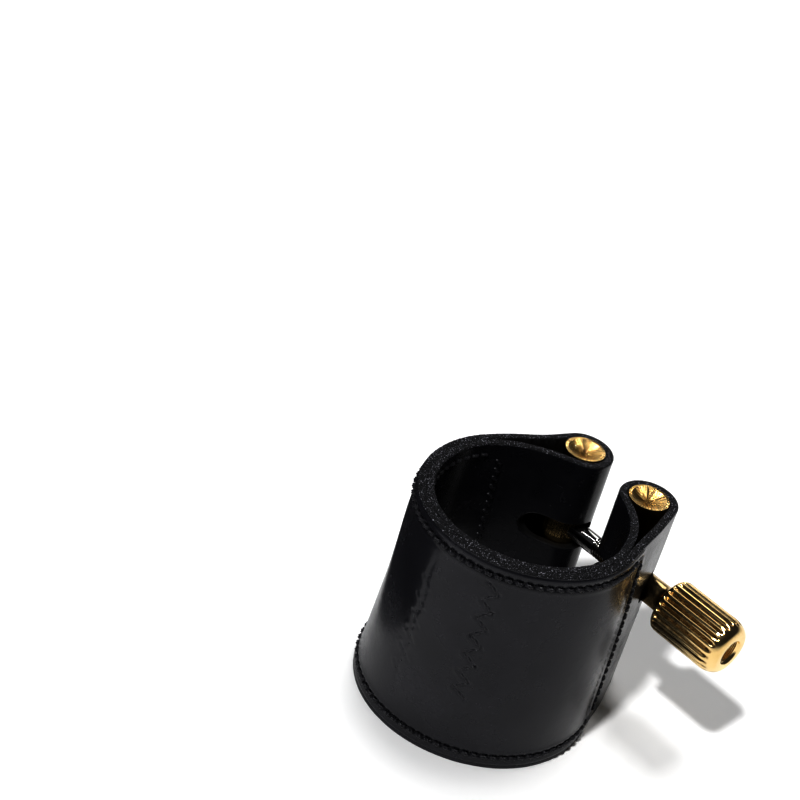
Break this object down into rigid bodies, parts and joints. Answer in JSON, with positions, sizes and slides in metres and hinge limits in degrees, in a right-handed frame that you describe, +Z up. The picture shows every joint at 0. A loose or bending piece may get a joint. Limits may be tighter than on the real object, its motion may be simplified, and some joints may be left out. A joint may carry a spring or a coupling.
{
  "type": "saxophone ligature",
  "caption": "Tapered black leather band that clamps a reed to a saxophone mouthpiece, closed by a screw through two gold barrels and a fluted thumb nut.",
  "frame": {"origin": "on the bore axis, level with the clamping screw", "axes": "+Z up the bore axis towards the narrow rim and the mouthpiece tip, +X along the screw towards the thumb nut, +Y from the bore to the gap"},
  "size_m": [0.0446, 0.0405, 0.0335],
  "materials": {
    "leather": "semi-gloss, smooth finished black calf with rough cut edges",
    "thread": "black waxed thread",
    "gold_plate": "polished gold plate",
    "steel": "polished nickel-plated steel"
  },
  "bodies": {
    "back": {"strap_back": "leather", "reed_panel": "leather", "strap_return_back": "leather", "top_stitching_back": "thread", "bottom_stitching_back": "thread", "zigzag_seam_near": "thread", "zigzag_seam_far": "thread"},
    "near_arm": {"strap_arm_near": "leather", "strap_return_near": "leather", "top_stitching_near": "thread", "bottom_stitching_near": "thread", "closing_stitching_near": "thread"},
    "far_arm": {"strap_arm_far": "leather", "strap_return_far": "leather", "top_stitching_far": "thread", "bottom_stitching_far": "thread", "closing_stitching_far": "thread"},
    "near_pivot": {"barrel_near": "gold_plate"},
    "far_pivot": {"barrel_far": "gold_plate", "screw": "steel"},
    "washer_slide": {"thrust_washer": "gold_plate"},
    "nut": {"thumb_nut": "gold_plate"}
  },
  "joints": [
    {"name": "near_arm_flex", "type": "hinge", "parent": "back", "child": "near_arm", "pos_m": [0.00639, -0.01201, 0], "axis": [0, 0, 1], "range_deg": [0, 3.4]},
    {"name": "far_arm_flex", "type": "hinge", "parent": "back", "child": "far_arm", "pos_m": [-0.00639, -0.01201, 0], "axis": [0, 0, 1], "range_deg": [-3.4, 0]},
    {"name": "near_barrel_turn", "type": "hinge", "parent": "near_arm", "child": "near_pivot", "pos_m": [0.00625, 0.0182, 0], "axis": [0, 0, 1], "range_deg": [-3.4, 0]},
    {"name": "far_barrel_turn", "type": "hinge", "parent": "far_arm", "child": "far_pivot", "pos_m": [-0.00625, 0.0182, 0], "axis": [0, 0, 1], "range_deg": [0, 3.4]},
    {"name": "nut_travel", "type": "slide", "parent": "far_pivot", "child": "washer_slide", "axis": [-1, 0, 0], "range_m": [0, 0.00359]},
    {"name": "nut_turn", "type": "hinge", "parent": "washer_slide", "child": "nut", "pos_m": [0.015, 0.0182, 0], "axis": [-1, 0, 0], "range_deg": [0, 2580]}
  ],
  "couplings": [
    {"joint": "far_arm_flex", "follows": "near_arm_flex", "ratio": -1},
    {"joint": "near_barrel_turn", "follows": "near_arm_flex", "ratio": -1},
    {"joint": "far_barrel_turn", "follows": "near_arm_flex", "ratio": 1},
    {"joint": "nut_travel", "follows": "near_arm_flex", "m_per_rad": 0.060373},
    {"joint": "nut_turn", "follows": "near_arm_flex", "ratio": 758.67}
  ]
}
